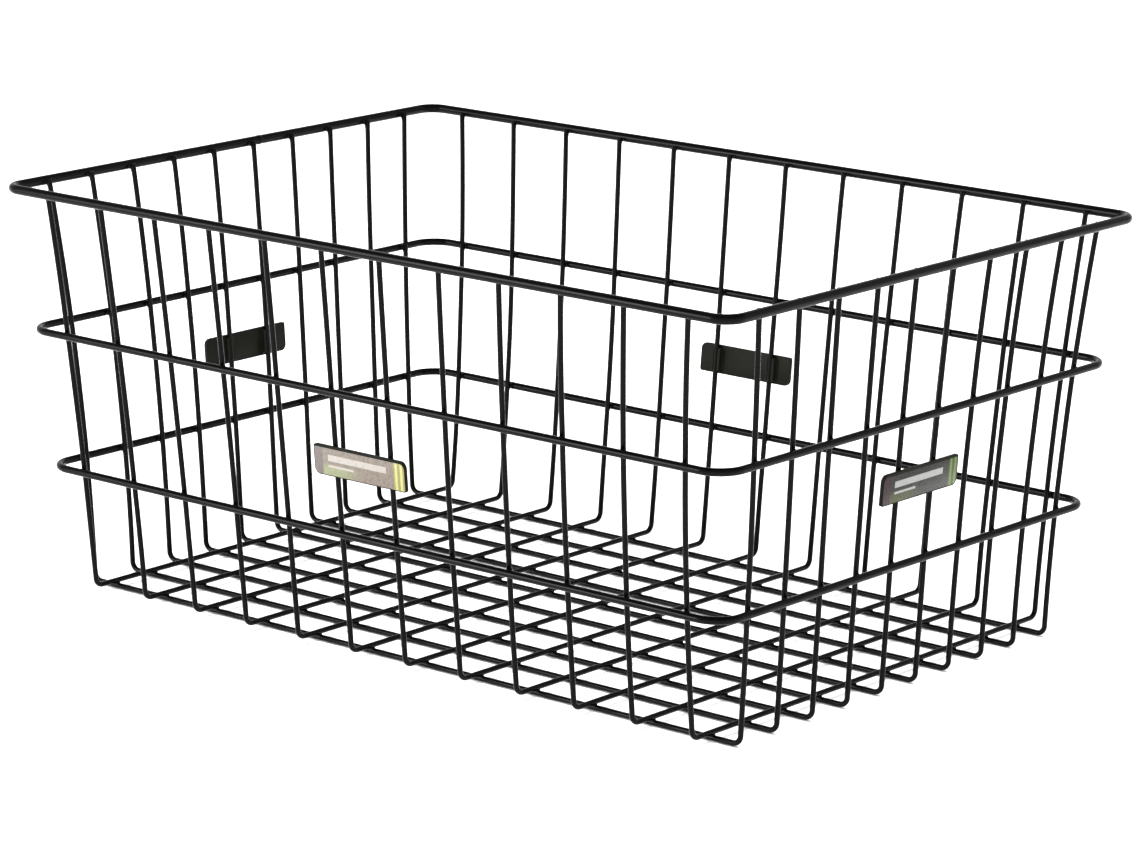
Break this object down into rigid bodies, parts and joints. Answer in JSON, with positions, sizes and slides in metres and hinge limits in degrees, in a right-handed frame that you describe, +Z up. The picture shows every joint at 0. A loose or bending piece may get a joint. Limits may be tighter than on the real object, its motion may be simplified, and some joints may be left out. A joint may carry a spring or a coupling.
{
  "type": "wire cargo basket",
  "caption": "Open-top rectangular basket of welded black-coated steel wire with flared walls, rounded rim corners and a flat badge on each wall; rests on its floor grid.",
  "frame": {"origin": "centre of the footprint, on the ground under the floor wires", "axes": "+X along the length, +Y to the rear, +Z up out of the open top"},
  "size_m": [0.4834, 0.3334, 0.2182],
  "materials": {
    "wire_coating": "satin to gloss black powder coat over welded steel wire",
    "badge_plastic": "fine-grained moulded black plastic",
    "badge_print": "glossy printed label, charcoal with a green end block"
  },
  "bodies": {
    "root": {"rim_wire": "wire_coating", "mid_hoop_wire": "wire_coating", "low_hoop_wire": "wire_coating", "cross_wire_01": "wire_coating", "cross_wire_02": "wire_coating", "cross_wire_03": "wire_coating", "cross_wire_04": "wire_coating", "cross_wire_05": "wire_coating", "cross_wire_06": "wire_coating", "cross_wire_07": "wire_coating", "cross_wire_08": "wire_coating", "cross_wire_09": "wire_coating", "cross_wire_10": "wire_coating", "cross_wire_11": "wire_coating", "cross_wire_12": "wire_coating", "long_wire_01": "wire_coating", "long_wire_02": "wire_coating", "long_wire_03": "wire_coating", "long_wire_04": "wire_coating", "long_wire_05": "wire_coating", "long_wire_06": "wire_coating", "long_wire_07": "wire_coating", "long_wire_08": "wire_coating", "long_wire_09": "wire_coating", "long_wire_10": "wire_coating", "front_badge_plate": "badge_plastic", "right_badge_plate": "badge_plastic", "rear_badge_plate": "badge_plastic", "left_badge_plate": "badge_plastic", "front_badge_label": "badge_print", "right_badge_label": "badge_print", "rear_badge_label": "badge_print", "left_badge_label": "badge_print"}
  },
  "joints": []
}
